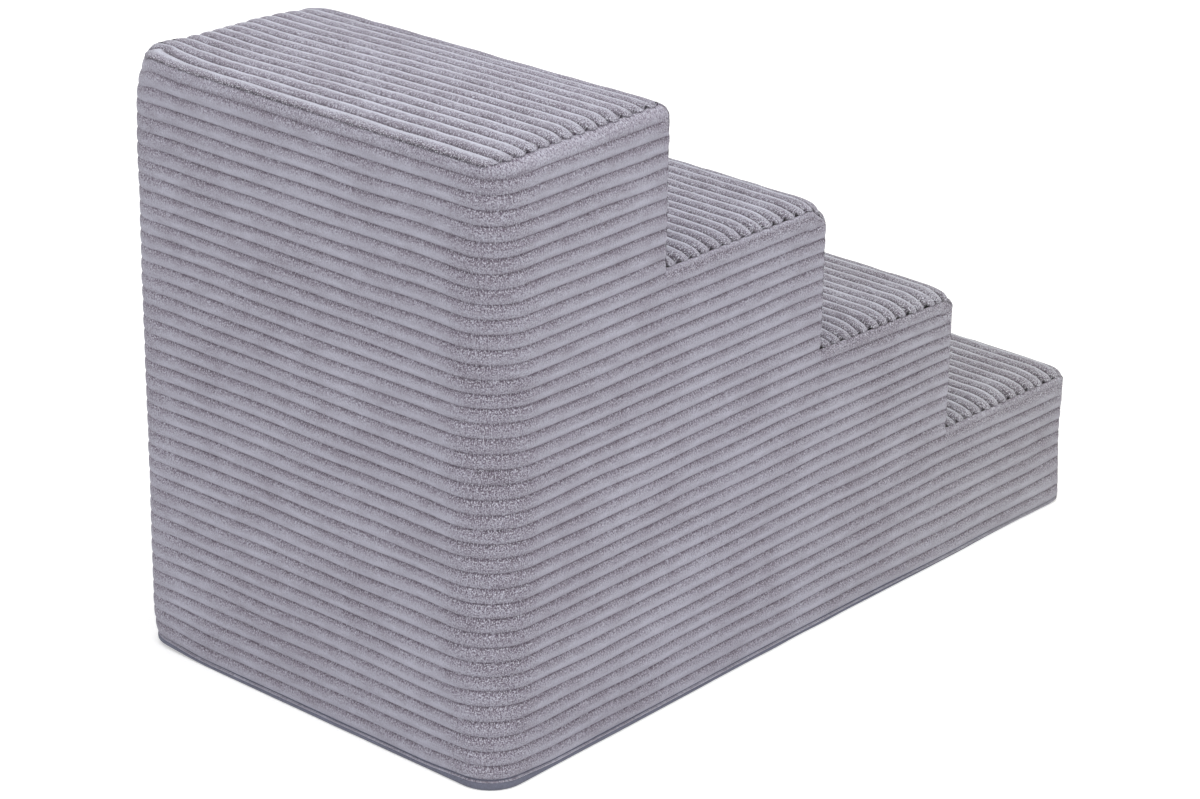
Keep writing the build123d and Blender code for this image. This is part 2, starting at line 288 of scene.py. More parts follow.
def corduroy(name, rise, fall, deep, along, groove, fleck, tone_and_painted_light, dye):
    """Short pile in wales: speckled tips, streaks across the wale, clouds where the pile was brushed.
    Over a wale a painted shade and highlight rise and fall between two places each, the lit side
    paler by deep; along, groove and fleck are the strengths of the streaks, the brightness left in
    the grooves' painted shade and the speckle; tone scales the cloth's value, and on the strip it holds
    painted top light."""
    n = Nodes(bpy.data.materials.new(name))
    cloth, place = n.cloth(), n.place()
    phase, crest, worn, seam = n.mark("phase"), n.mark("crest"), n.mark("worn"), n.mark("seam")
    speckle = n.noise(n.scaled(cloth, 1200, 1000), 1.0, 1.5, 0.7)
    flecks = n.noise(n.scaled(cloth, 1100, 620), 1.0, 1.0, 0.65)
    streak = n.noise(n.scaled(cloth, 800, 190), 1.0, 2.0, 0.6)
    cloud = n.noise(place, 22.0, 3.0, 0.6)
    brushed = n.noise(n.scaled(cloth, 60, 260), 1.0)
    # painted shade and highlight across each wale: one side is painted darker and speckled, the other pale,
    # as the pile catches the light
    nap_shade = n.times(n.ramp(phase, *rise), n.ramp(phase, *fall))
    zone = n.math("MULTIPLY_ADD", n.math("SUBTRACT", 1.0, nap_shade), 0.8, 0.14)
    # towards the back corners and seam edges: more speckle, and painted shade that darkens the wale and its
    # groove
    zone = n.math("ADD", zone, n.times(worn, 0.85))
    flat = n.math("MULTIPLY_ADD", n.math("SUBTRACT", 1.0, worn), 0.6, 0.4)
    value = n.math("MULTIPLY_ADD", n.times(nap_shade, flat), deep, 1.05 - deep)
    value = n.vary(value, cloud, 0.32)
    value = n.vary(value, brushed, 0.34)
    value = n.vary(value, streak, n.times(zone, along))
    value = n.vary(value, speckle, n.times(zone, fleck))
    # painted shade: grooves and seams are darkened in the colour, with an uneven, streaky edge
    groove_shade_mask = n.vary(crest, streak, 1.3)
    floor = n.math("MULTIPLY_ADD", worn, -0.12, groove)
    value = n.times(value, n.ramp(groove_shade_mask, -0.1, 0.75, floor, 1.0))
    # painted shade along the seams, scaled by the tone, which on the strip holds painted top light
    value = n.times(value, n.math("MULTIPLY_ADD", seam, -0.6 * tone_and_painted_light, tone_and_painted_light))
    warm = n.mix(n.ramp(value, 0.5, 1.1), (0.345, 0.300, 0.368), (0.448, 0.437, 0.520))
    colour = n.tint(warm, value)
    dark = n.times(n.ramp(flecks, 0.48, 0.34), zone)
    pale = n.times(n.ramp(speckle, 0.53, 0.66), zone)
    colour = n.mix(n.times(dark, 0.92 * fleck), colour, (0.135, 0.106, 0.146))
    colour = n.mix(n.times(pale, 0.62 * fleck), colour, (0.64, 0.63, 0.71))
    # painted warm light: the cloth is made a little greyer, less blue, towards the low step, where warm
    # light from the front falls
    ahead = n.ramp(n.add("ShaderNodeSeparateXYZ", Vector=place).outputs[0], -0.1, 0.28)
    dye_and_warm_light = n.mix(ahead, dye, (dye[0], dye[1] * 1.004, dye[2] * 0.946))
    colour = n.add("ShaderNodeVectorMath", "MULTIPLY", i0=colour, i1=dye_and_warm_light).outputs[0]
    height = n.math("ADD", n.times(speckle, 0.7), n.times(streak, 0.5))
    normal = n.bump(height, 0.8, 0.0012)
    return n.shader(
        colour, 0.92, normal, Sheen_Weight=0.25, Sheen_Roughness=0.42,
        Sheen_Tint=(0.93, 0.93, 1.0, 1.0), Specular_IOR_Level=0.1,
    )


def woven(name, colour, pitch):
    """Plain weave at a real thread pitch in metres, with uneven threads."""
    n = Nodes(bpy.data.materials.new(name))
    place = n.place()
    split = n.add("ShaderNodeSeparateXYZ", Vector=place)
    x, y = split.outputs[0], n.math("ADD", split.outputs[1], split.outputs[2])
    turn = math.pi / pitch
    warp, weft = [n.math("ABSOLUTE", n.wave(v, turn)) for v in (x, y)]
    # whether the warp or the weft lies on top
    over = n.math("GREATER_THAN", n.times(n.wave(x, turn * 0.5), n.wave(y, turn * 0.5)), 0.0)
    under = n.math("SUBTRACT", 1.0, over)
    thread = n.math("ADD", n.times(warp, over), n.times(weft, under))
    uneven = n.noise(place, 700.0, 2.0, 0.6)
    value = n.math("MULTIPLY_ADD", n.math("SUBTRACT", thread, 0.6), 0.25, 1.0)
    value = n.vary(value, uneven, 0.5)
    value = n.vary(value, n.noise(place, 30.0), 0.25)
    height = n.math("ADD", thread, n.times(uneven, 0.5))
    return n.shader(
        n.tint(colour, value), 0.85, n.bump(height, 0.35, pitch * 0.5),
        Sheen_Weight=0.12, Sheen_Roughness=0.5, Specular_IOR_Level=0.25,
    )


def foam_material():
    n = Nodes(bpy.data.materials.new("foam_cells"))
    place = n.place()
    cells = n.add("ShaderNodeTexVoronoi", Vector=place, Scale=900.0).outputs[0]
    value = n.math("MULTIPLY_ADD", cells, 0.35, 0.8)
    value = n.vary(value, n.noise(place, 18.0), 0.15)
    return n.shader(n.tint((0.8, 0.78, 0.7), value), 0.95, n.bump(cells, 0.6, 0.0006))


def satin(name, colour, rough, grain, wear, metallic=0.0):
    """Dyed plastic or painted metal: fine grain, and paler rubbed places."""
    n = Nodes(bpy.data.materials.new(name))
    place = n.place()
    fine = n.noise(place, 2600.0, 2.0, 0.6)
    rubbed = n.ramp(n.noise(place, 420.0, 3.0, 0.65), 0.52, 0.72)
    value = n.math("MULTIPLY_ADD", n.math("SUBTRACT", fine, 0.5), grain, 1.0)
    colour = n.mix(n.times(rubbed, wear), n.tint(colour, value), (0.42, 0.42, 0.46))
    shine = n.math("MULTIPLY_ADD", rubbed, -0.12, rough)
    return n.shader(colour, shine, n.bump(fine, 0.15, 0.00008), Metallic=metallic, Specular_IOR_Level=0.5)


# Corduroy rows
def groove_level(k):
    """The height of a groove over the floor, counted from 1 under the top seam down to the hem. The
    wales are narrowest half way up and widest at the hem."""
    even = HEM + WALE * (GROOVES - k)
    return even + 3.19 * (1 - ((k - 20) / 21) ** 2) - 1.08 * (k - GROOVES) * (k - 1) * (k - 20) / 4000


OPEN_TOP = groove_level(GROOVES - 1) - 0.2  # the lower edge of the cloth over the zip


# The strip over treads and risers
def round_line(corners):
    """Straight pieces joined by arcs: (kind, start, end, centre, radius, from angle, to angle)."""
    pieces, start = [], np.array(corners[0][:2], float)
    for (x0, z0, _), (x1, z1, r), (x2, z2, _) in zip(corners, corners[1:], corners[2:]):
        here = np.array((x1, z1), float)
        a = unit(np.array((x0, z0), float) - here)
        b = unit(np.array((x2, z2), float) - here)
        half = math.acos(np.clip(a @ b, -1, 1)) / 2
        reach = r / math.tan(half)
        p, q = here + a * reach, here + b * reach
        middle = here + unit(a + b) * (r / math.sin(half))
        pieces.append(("line", start, p, None, 0, 0, 0))
        t0 = math.atan2(*(p - middle)[::-1])
        t1 = math.atan2(*(q - middle)[::-1])
        t1 = t0 + (t1 - t0 + math.pi) % (2 * math.pi) - math.pi
        pieces.append(("arc", p, q, middle, r, t0, t1))
        start = q
    pieces.append(("line", start, np.array(corners[-1][:2], float), None, 0, 0, 0))
    return pieces


def stair_line():
    """The stairs' outline half way across, from the back seam to the floor in front."""
    corners = [(BACK, REAR[3], 0.0)]
    for k in (3, 2, 1, 0):
        corners.append((RISER[k], AHEAD[k], NOSE[k]))
        corners.append((RISER[k] - (0 if k else FOOT_LEAN), REAR[k - 1] if k else 2.0, INNER if k else 0.0))
    return round_line(corners)


LINE = stair_line()
LENGTHS = np.array([
    np.hypot(*(p[2] - p[1])) if p[0] == "line" else abs(p[4] * (p[6] - p[5])) for p in LINE
])
ENDS = np.concatenate([[0], np.cumsum(LENGTHS)])
# the feet of the risers, where the cloth is tucked in
FEET = [0.0] + [ENDS[i] + LENGTHS[i] / 2 for i in range(3, 15, 4)] + [ENDS[-1]]


def on_line(t):
    """For distances along the strip: points, outward normals and, as numbers, the crown, the sink at
    the side seam, the seam's place in from the side and the riser's share."""
    which = np.clip(np.searchsorted(ENDS, t, side="right") - 1, 0, len(LENGTHS) - 1)
    share = np.clip((t - ENDS[which]) / LENGTHS[which], 0, 1)
    points, normals = np.zeros((2, len(t), 2))
    crown, sink, riser = np.zeros((3, len(t)))
    seam_in = np.ones(len(t))
    for i, p in enumerate(LINE):
        here = which == i
        f = share[here]
        if p[0] == "line":
            d = unit(p[2] - p[1])
            points[here] = p[1] + (p[2] - p[1]) * f[:, None]
            normals[here] = (-d[1], d[0])
        else:
            angle = p[5] + (p[6] - p[5]) * f
            ring = np.stack([np.cos(angle), np.sin(angle)], -1)
            points[here] = p[3] + ring * p[4]
            normals[here] = ring if p[6] < p[5] else -ring
        k = 3 - i // 4
        part = i % 4
        if part == 0:
            crown[here] = CROWN[k] * (1 - np.abs(2 * f - 1) ** 3.0)
            sink[here] = SINK_REAR[k] + (SINK_AHEAD[k] - SINK_REAR[k]) * f
            seam_in[here] = SEAM_IN[k]
        elif part == 1:
            sink[here] = SINK_AHEAD[k] + (RISER_SINK - SINK_AHEAD[k]) * f
            sink[here] += NOSE_CUT[k] * np.sin(math.pi * f)
            seam_in[here] = SEAM_IN[k] + (1 - SEAM_IN[k]) * f
            riser[here] = f
        elif part == 2:
            sink[here] = RISER_SINK
            riser[here] = 1
        else:
            sink[here] = RISER_SINK + (SINK_REAR[k - 1] - RISER_SINK) * f
            seam_in[here] = 1 + (SEAM_IN[k - 1] - 1) * f
            riser[here] = 1 - f
    return points, normals, crown, sink, seam_in, riser


def far_drop(x):
    """How much lower the far top edge lies at x."""
    share = np.clip((x - BACK) / (RISER[3] - BACK), 0, 1)
    return FAR_DROP * share + TIP_DROP * smooth(share, 0.7, 1.0)


def side_lean(x, y):
    """The top tread rises a little to its nose on the near side, and falls on the far one."""
    share = np.clip((x - BACK) / (RISER[3] - BACK), 0, 1)
    return share * (NEAR_RISE * smooth(-y, 20, HALF) - FAR_FALL * smooth(y, -20, HALF))


def seam_lean(x, far):
    """How much higher the top tread's seam lies at x on the far or near side than half way across."""
    return side_lean(x, HALF) - far_drop(x) if far else side_lean(x, -HALF)


def corner_drop(points):
    """How much lower the cover lies towards the top's two far corners."""
    x, y, z = np.moveaxis(points, -1, 0)
    away = np.hypot(x - BACK, y - HALF)
    drop = CORNER_DROP * smooth(away, 24, 12) - BESIDE_RISE * smooth(away, 52, 24)
    drop = drop + NOSE_DROP * smooth(np.hypot(x - RISER[3], y - HALF), 34, 6)
    return drop * smooth(z, TOP - 35, TOP - 10)


def strip_rows():
    """Distances along the strip, with each row's place across its wale and the wale's number."""
    rows, number = [], 0
    for i, (a, b) in enumerate(zip(FEET, FEET[1:])):
        wide = FIRST_WALE if i == 0 else 0.0
        count = round((b - a - wide) / STRIP_WALE)
        edges = [a] + ([a + wide] if wide else [])
        edges += [a + wide + (b - a - wide) * j / count for j in range(1, count + 1)]
        for low, high in zip(edges, edges[1:]):
            rows += [(low + (high - low) * s, s, number) for s in SHARES]
            number += 1
    rows.append((FEET[-1], 1.0, number - 1))
    return np.array(rows).T


def strip_columns():
    """For the columns from the near side to the far one: how far in from the side each lies, its share
    of the way up from the sink, its depth in the seam, and its side."""
    inner = np.array([(3.6, 0, 1.3), (2.4, 0, 0.8), (1.6, 0, 0.35), (1.1, 0, 0.1)])
    w = np.sin(np.linspace(math.pi / 2, 0, 16))
    over = np.stack([REACH - (REACH - 1.0) * w, np.sqrt(np.clip(1 - w**2, 0, 1)), 0 * w], -1)
    edge = np.concatenate([inner, over])
    y = np.linspace(-(HALF - REACH), HALF - REACH, 43)[1:-1]
    flat = np.stack([HALF - np.abs(y), 1 + 0 * y, 0 * y], -1)
    side = np.concatenate([-np.ones(len(edge)), np.where(y < 0, -1, 1), np.ones(len(edge))])
    return np.column_stack([np.concatenate([edge, flat, edge[::-1]]), side])


def strip_column(inset, share, notch, side, t, number):
    """The points of one column along the stairs, and the outline's outward normals there."""
    y = side * (HALF - inset)
    # wale ends lean and pinch a little, each its own way
    wander = 1.5 * drift(number, 0 * number, 1.0, 1.0, 5 if side < 0 else 6) * (1 - smooth(inset, 0, 17))
    wander += 0.4 * drift(number, y, 1.0, 34.0, 11)
    if side > 0:
        wander += 2.4 * smooth(y, 85, 140) * smooth(t, 150, 60)
    wander *= smooth(t, 2, 12) * smooth(t, ENDS[-1] - 2, ENDS[-1] - 12)
    places, normals, crown, sink, seam_in, riser = on_line(t + wander)
    x, z = places.T
    # on a riser the edge is rounder
    round_rise = math.sqrt(1 - fading(inset - 1, 8.0) ** 2)
    rise = 0 if inset < 1.05 or notch > 0 else share * (1 - riser) + round_rise * riser
    # the top tread has a lower crown and its own fall on the far side
    on_top = t < ENDS[2]
    crown = np.where(on_top, crown * (1 - 0.7 * smooth(y, -70, HALF)), crown)
    if side > 0:
        sink = sink + np.where(on_top, far_drop(x) * (1 - riser), 0)
    offset = crown * rise - sink * (1 - rise) - notch
    offset += np.where(on_top, side_lean(x, y) * (1 - riser), 0)
    edge = fading(inset - 1, REACH - 1)
    inwards = inset + (seam_in - 1) * edge
    if side < 0:
        inwards = inwards - skirt(x, -HALF) * (edge * smooth(z, 60, 2))
    out = normals * offset[:, None]
    return np.column_stack([x + out[:, 0], side * (HALF - inwards), z + out[:, 1]]), normals


def round_corners(points, side, t):
    """Rounds the strip's two back corners in plan."""
    r = np.where(side < 0, NEAR_CORNER, FAR_CORNER)
    deep, wide = r - 1, r - SEAM_IN[3]
    a = np.clip(r - (points[..., 0] - BACK), 0, deep) / deep
    b = np.clip(np.abs(points[..., 1]) - (HALF - r), 0, wide) / wide
    here = (a > 0) & (b > 0) & (t < 40)[:, None]
    shell, size = np.maximum(a, b), np.maximum(np.hypot(a, b), 1e-9)
    x = BACK + r - deep * shell * a / size
    y = side * (HALF - r + wide * shell * b / size)
    points[here, 0], points[here, 1] = x[here], y[here]


def build_strip():
    t, phase, number = strip_rows()
    columns = strip_columns()
    inset, share, _, side = columns.T
    y = side * (HALF - inset)
    found = [strip_column(*column, t, number) for column in columns]
    points, normals = [np.stack(parts, 1) for parts in zip(*found)]
    # the outward direction, turning to the side over the edge
    along = np.stack([normals[..., 1], 0 * normals[..., 0], -normals[..., 0]], -1)
    ways = unit(np.cross(along, unit(np.gradient(points, axis=1))))
    wave = rib(phase, STRIP_POWER)[:, None]
    uneven = 0.3 * drift(number[:, None], y, 0.9, 11.0, 21) * wave
    # grooves run out at the back edge, before the seams of the risers and on the far side
    depth = (STRIP_DEPTH * (1 - 0.7 * fading(t, 7.0)))[:, None]
    depth = depth * (1 - 0.85 * on_line(t)[5][:, None] * smooth(inset, 12, 1))
    depth = depth * (1 - 0.5 * smooth(inset, 26, 3) * (side > 0))
    points += ways * (depth * (wave - 1) + uneven)[..., None]
    # the back edge rolls down to its seam
    points[..., 2] -= (1.3 * fading(t, 5.0) ** 2)[:, None]
    points[..., 0] += (1.6 * fading(t, 6.0))[:, None]
    round_corners(points, side, t)
    points[..., 2] -= corner_drop(points)
    run = np.concatenate([[0], np.cumsum(np.abs(np.diff(y)) + 0.6 * np.abs(np.diff(share * 5)))])
    uv = np.stack(np.meshgrid(run, t), -1)
    # painted shade with more speckle along the side edges and at the back edge
    worn = np.maximum(smooth(inset, 17, 2), (0.5 * smooth(t, 13, 2))[:, None])
    # painted shade along the back seam, dotted at the stitches, and along the side seams
    stitch = 0.72 + 0.28 * np.sin(2 * math.pi * y / STITCH)
    side_seam = 0.15 * np.exp(-(((inset - 1) / 0.9) ** 2))
    seam = np.maximum(np.exp(-((t / 1.5) ** 2))[:, None] * stitch, side_seam)
    return sheet_mesh("cover_strip", points, uv, phase=phase[:, None], crest=wave, worn=worn, seam=seam)


def seam_curve(k, far):
    """The strip's side seam round the nose of step k, in the plane of the side."""
    i = 4 * (3 - k) + 1
    t = np.linspace(ENDS[i] - 12, ENDS[i + 1] + 12, 80)
    p, n, _, sink, _, riser = on_line(t)
    if k == 3:
        sink = sink - seam_lean(p[:, 0], far) * (1 - riser)
    return p - n * sink[:, None]


# The band runs along the near side, round the back and along the far side
NEAR_SIDE, NEAR_TURN, REAR_FACE, FAR_TURN, FAR_SIDE = range(5)
EDGES = [r - RISER_SINK for r in RISER]
SEAMS = [r - s for r, s in zip(REAR, SINK_REAR)]
SEAMS_AHEAD = [a - s for a, s in zip(AHEAD, SINK_AHEAD)]


def near_radius(z):
    """The near back corner is tighter at the top seam than lower down."""
    down = TOP - z
    return NEAR_CORNER + 6 * smooth(down, 0, 12) + 15 * smooth(down, 10, 170) - 10 * smooth(70 - z, 0, 70)


def far_radius(z):
    """The far back corner is a little rounder at its two ends."""
    top = 2 * smooth(z, 325, 362) + (FAR_CORNER - 19) * smooth(z, 364, 398)
    return 17 + top + 4 * smooth(22 - z, 0, 22)


def hem_raise(x, y):
    """The hem is drawn up round the near back corner, and comes down over the base towards the front."""
    near = 2.4 * smooth(np.hypot(x - BACK - 10, y + HALF - 10), 52, 8)
    ahead = -1.7 * smooth(x, -40, 235) * smooth(-y, 120, 150)
    tip = 1.8 * smooth(np.hypot(x - FRONT, np.abs(y) - HALF), 16, 0)
    return near + ahead + tip + 1.5 * curl(x, y)


def curl(x, y):
    """The far back corner stands a little off the floor."""
    return 2.6 * smooth(np.hypot(x - BACK, y - HALF), 62, 4)


def skirt(x, y):
    """How far the near side swells at its foot towards the front."""
    return (2.2 * smooth(x, -20, 200) + 1.8 * smooth(x, 190, 285)) * smooth(-y, 120, 150)


def band_rows():
    """Heights over the floor, with each row's place across its wale, from the groove above it, and the
    wale's number."""
    levels = [groove_level(k) for k in range(1, GROOVES + 1)]
    rows = []
    for k, (top, low) in enumerate(zip(levels, levels[1:])):
        rows += [(top - (top - low) * s, s, k + 1) for s in SHARES]
    rows.append((levels[-1], 1.0, GROOVES))
    under = ((3.25, 0.3), (2.95, 0.6), (2.65, 0.75), (2.35, 0.85), (2.05, 0.95))
    rows += [(z, s, GROOVES + 1) for z, s in under]
    first = SEAMS[3]
    for s in np.linspace(0, 1, 16)[:-1] ** 1.4:
        rows.append((first - (first - levels[0]) * s, 0.35 + 0.65 * s, 0))
    close = (0, -0.5, -1.1, -1.8, -2.6)
    for k in (0, 1, 2):
        rows = [r for r in rows if min(abs(r[0] - SEAMS[k] - d) for d in close) > 0.28]
        for d in close:
            z = SEAMS[k] + d
            above = max(i for i, g in enumerate([NOWHERE] + levels) if g > z)
            high = levels[above - 1] if above else first
            rows.append((z, (high - z) / (high - levels[above]), above))
    rows.sort()
    return np.array(rows).T


def side_columns():
    """Places along the side from the front to the back, close together at the risers."""
    close = np.array([0, 0.4, 0.9, 1.5, 2.2, 3.1, 4.2, 5.6, 7.5, 10, 13])
    side = []
    for k in range(4):
        span = EDGES[k] - (EDGES[k + 1] if k < 3 else BACK + TURN)
        tail = close if k < 3 else close[:1]
        steps = max(2, round((span - close[-1] - tail[-1]) / 5.2))
        middle = np.linspace(close[-1], span - tail[-1], steps + 1)[1:-1]
        side += list(EDGES[k] - np.concatenate([close, middle, span - tail]))
    return np.array(sorted(set(np.round(side, 4)), reverse=True))


def zip_share(x):
    """1 along the zip's opening, 0 beyond its ends."""
    return smooth(x, OPEN[0] - 1.5, OPEN[0] + 1.5) * smooth(x, OPEN[1] + 1.5, OPEN[1] - 1.5)


def outline_distance(v, z):
    """Distances from a column's rows to the stepped outline, and to the seam over that column."""
    dist, upper = np.full(len(z), NOWHERE), np.full(len(z), NOWHERE)
    for i in range(4):
        rear = EDGES[i + 1] if i < 3 else BACK - 50
        if rear - 1e-6 <= v <= EDGES[i] + 1e-6:
            d = np.where(z <= SEAMS[i] + 1e-6, np.abs(SEAMS[i] - z), NOWHERE)
            upper = np.minimum(upper, d)
        else:
            d = np.hypot((rear if v < rear else EDGES[i]) - v, SEAMS[i] - z)
        dist = np.minimum(dist, d)
        foot = SEAMS[i - 1] if i else -50
        beside = (z >= foot - 1e-6) & (z <= SEAMS[i] + 1e-6) & (v <= EDGES[i] + 1e-6)
        dist = np.where(beside, np.minimum(dist, abs(EDGES[i] - v)), dist)
    return dist, upper


def step_at(v):
    """The number of the step whose side holds the place v."""
    return max(i for i in range(4) if v <= EDGES[i] + 1e-6)


def band_columns():
    """The band's columns in order: the stretch each belongs to and its place on that, a length or, on
    a turn, a share."""
    side = side_columns()
    turn = np.linspace(0, 1, 25)[1:]
    rear = np.linspace(-(HALF - TURN), HALF - TURN, 45)[1:]
    zips = np.array([e + d for e in OPEN for d in (-4.0, -2.0, -0.7, 0, 0.7, 2.0, 4.0)])
    far = side[[np.min(np.abs(zips - x)) > 0.6 for x in side]]
    far = np.sort(np.concatenate([far, zips]))
    far = far[far > BACK + TURN + 0.1]
    stretches = enumerate((side, turn, rear, turn, far))
    return [(stretch, v) for stretch, places in stretches for v in places]


def side_column(far, v, z, phase, curves):
    """A column of a long side: its points, its distances to the outline and to the seam over it, and
    how far its top edge turns in before its seam."""
    k = step_at(v)
    x = np.full(len(z), v)
    if k == 0:
        x = x - FOOT_LEAN * fading(z, AHEAD[0]) * np.clip((v - EDGES[0] + 50) / 50, 0, 1)
    gap, top_gap = outline_distance(v, z)
    # the seam line slopes a little from the rear of a tread to its nose
    start = RISER[k + 1] if k < 3 else BACK
    length = RISER[k] - NOSE[k] - start
    extra = float(seam_lean(v, far)) if k == 3 else 0.0
    fall = (SEAMS_AHEAD[k] - SEAMS[k]) * min(1.0, max(0.0, v - start) / length) + extra
    height = z + fall * smooth(z, SEAMS[k] - 75, SEAMS[k])
    # and follows the strip round the nose
    x0, z0 = EDGES[k] - CORNER, SEAMS_AHEAD[k] - CORNER + extra
    a, b = (v - x0) / CORNER, (height - z0) / CORNER
    if not far:
        # wale ends stand out a little at the risers
        near = max(0.0, 1 - (EDGES[k] - v) / 3.5)
        x = x - 1.3 * (1 - rib(phase, 2.0)) * near * smooth(-b, 0, 0.5)
    roll = np.full(len(z), SEAM_IN[3] if k == 3 else 0.4)
    if a > 0:
        curve = (curves[k] - (x0, z0)) / CORNER
        turns = np.arctan2(curve[:, 1], curve[:, 0])
        order = np.argsort(turns)
        here = np.arctan2(np.maximum(b, 1e-9), a)
        shell = CORNER * np.maximum(a, b)
        inside = b > 0
        x = np.where(inside, x0 + shell * np.interp(here, turns[order], curve[order, 0]), x)
        height = np.where(inside, z0 + shell * np.interp(here, turns[order], curve[order, 1]), height)
        top_gap = np.where(inside, gap, top_gap)
        if k == 3:
            roll = np.where(inside, 1 + (SEAM_IN[3] - 1) * np.clip((here - 0.56) / 0.45, 0, 1), 1.0)
    side = np.full(len(z), HALF if far else -HALF)
    return np.column_stack([x, side, height]), gap, top_gap, roll


def turn_column(far, v, z):
    """A column round a back corner: its points, the outward directions, and how far its top edge
    turns in."""
    sign, u = (1, 1 - v) if far else (-1, v)
    radius = far_radius(z) if far else near_radius(z)
    straight = TURN - radius
    s = u * (2 * straight + radius * math.pi / 2)
    angle = np.clip((s - straight) / radius, 0, math.pi / 2)
    x = BACK + TURN - np.minimum(s, straight) - radius * np.sin(angle)
    y = HALF - radius * (1 - np.cos(angle)) - np.clip(s - straight - radius * math.pi / 2, 0, None)
    ways = np.column_stack([-np.sin(angle), sign * np.cos(angle), 0 * z])
    roll = SEAM_IN[3] + (BACK_ROLL - SEAM_IN[3]) * angle / (math.pi / 2)
    return np.column_stack([x, sign * y, z]), ways, roll


def kept_faces(z, columns):
    """The faces that the cloth has: under the stepped seam, and not in the zip's opening."""
    keep = np.zeros((len(z) - 1, len(columns) - 1), bool)
    for j, ((stretch, v), (after, w)) in enumerate(zip(columns, columns[1:])):
        on_side = stretch == after and stretch in (NEAR_SIDE, FAR_SIDE)
        keep[:, j] = z[1:] <= SEAMS[step_at((v + w) / 2) if on_side else 3] + 1e-6
        if stretch == after == FAR_SIDE:
            keep[:, j] &= z[:-1] > HEM - 0.1
            if min(v, w) > OPEN[0] - 0.1 and max(v, w) < OPEN[1] + 0.1:
                keep[:, j] &= z[:-1] > OPEN_TOP
    return keep


def seam_tuck(z, gap, top_gap, reach, roll):
    """How far the band draws in along its seams and at its hem."""
    hem = np.interp(z, (2.0, 2.4, 2.9, 3.25, 3.6, 4.6, 6.5), (1.4, 0.75, 0.55, 1.0, 1.6, 0.6, 0.0))
    tuck = 1.5 * fading(gap, 1.6) ** 2 + roll * fading(top_gap, reach) ** 2.2
    return tuck + 0.8 * fading(gap, 5.0) ** 2 * (top_gap >= NOWHERE) + hem[:, None]


def zip_tuck(z, stretches, places):
    """How far the hem on the far side is folded in to the zip's tape."""
    far_side = stretches == FAR_SIDE
    opening = far_side * zip_share(places)
    over = z[:, None] - OPEN_TOP
    tuck = opening * np.where(over > -0.1, 4.3 * fading(over, 3.4) ** 2.2, 4.3)
    beside = far_side & (opening < 0.999) & (over < 1.0)
    wide = np.min([np.abs(places - end) for end in OPEN], axis=0)
    return tuck + beside * 3.2 * fading(wide, 4.5) ** 2


def build_band():
    z, phase, number = band_rows()
    columns = band_columns()
    stretches, places = np.array(columns).T
    rows, cols = len(z), len(columns)
    points, ways = np.zeros((2, rows, cols, 3))
    gap, top_gap, roll = np.zeros((3, rows, cols))
    curves = [[seam_curve(k, far) for k in range(4)] for far in (False, True)]
    for j, (stretch, v) in enumerate(columns):
        if stretch in (NEAR_SIDE, FAR_SIDE):
            far = stretch == FAR_SIDE
            found = side_column(far, v, z, phase, curves[far])
            points[:, j], gap[:, j], top_gap[:, j], roll[:, j] = found
            ways[:, j, 1] = 1 if far else -1
            continue
        gap[:, j] = top_gap[:, j] = np.abs(SEAMS[3] - z)
        if stretch == REAR_FACE:
            points[:, j, 0], points[:, j, 1], points[:, j, 2] = BACK, v, z
            ways[:, j, 0], roll[:, j] = -1, BACK_ROLL
        else:
            points[:, j], ways[:, j], roll[:, j] = turn_column(stretch == FAR_TURN, v, z)
    # cloth coordinates: length round the stairs half way up
    run = distances(points[rows // 2, :, :2])
    uv = np.stack(np.meshgrid(run, z), -1)
    # wales, fading out near the seams
    bend = np.where(np.isin(stretches, (NEAR_TURN, FAR_TURN)), np.sin(math.pi * places), 0)
    far_bend = bend * (stretches == FAR_TURN)
    fade = smooth(top_gap, 2.5, 9.0) * smooth(gap, 0.2, 2.5) * smooth(z, 3.3, 3.5)[:, None]
    wave = rib(phase, BAND_POWER)[:, None]
    height = 1 - (1 - wave) * fade * (1 - 0.5 * far_bend)
    uneven = 0.2 * drift(run, number[:, None], 12.0, 0.9, 31) * wave
    swell = 0.6 * drift(run, z[:, None], 70.0, 60.0, 32) * smooth(gap, 0, 30)
    swell += skirt(points[..., 0], points[..., 1]) * smooth(z, 60, 2)[:, None]
    tuck = seam_tuck(z, gap, top_gap, 10.0 + 9.0 * far_bend, roll) + zip_tuck(z, stretches, places)
    points += ways * (BAND_DEPTH * (height - 1) + uneven + swell - tuck)[..., None]
    points[..., 2] -= corner_drop(points)
    points[..., 2] += hem_raise(points[..., 0], points[..., 1]) * smooth(z, 48, 3.5)[:, None]
    # wales sway a little up and down
    sway = 0.65 * drift(run, z[:, None], 45.0, 30.0, 33)
    points[..., 2] += sway * smooth(gap, 2, 25) * smooth(z - HEM, 0, 20)[:, None]
    # painted shade with more speckle round the two back corners and under the top seam
    worn = np.maximum(np.where(stretches == FAR_TURN, 0.34, 0.85) * bend**0.7, 0.8 * smooth(top_gap, 14, 3))
    worn = np.clip(worn + 0.25 * drift(run, z[:, None], 30.0, 25.0, 34), 0, 1)
    # painted shade along the top seam, stronger round the near corner and along the back
    seam = np.where(np.isin(stretches, (NEAR_TURN, REAR_FACE)), 0.35, 0.15) * np.exp(-((top_gap / 0.7) ** 2))
    return sheet_mesh(
        "cover_band", points, uv, kept_faces(z, columns), flip=True,
        phase=phase[:, None], crest=height, worn=worn, seam=seam,
    )


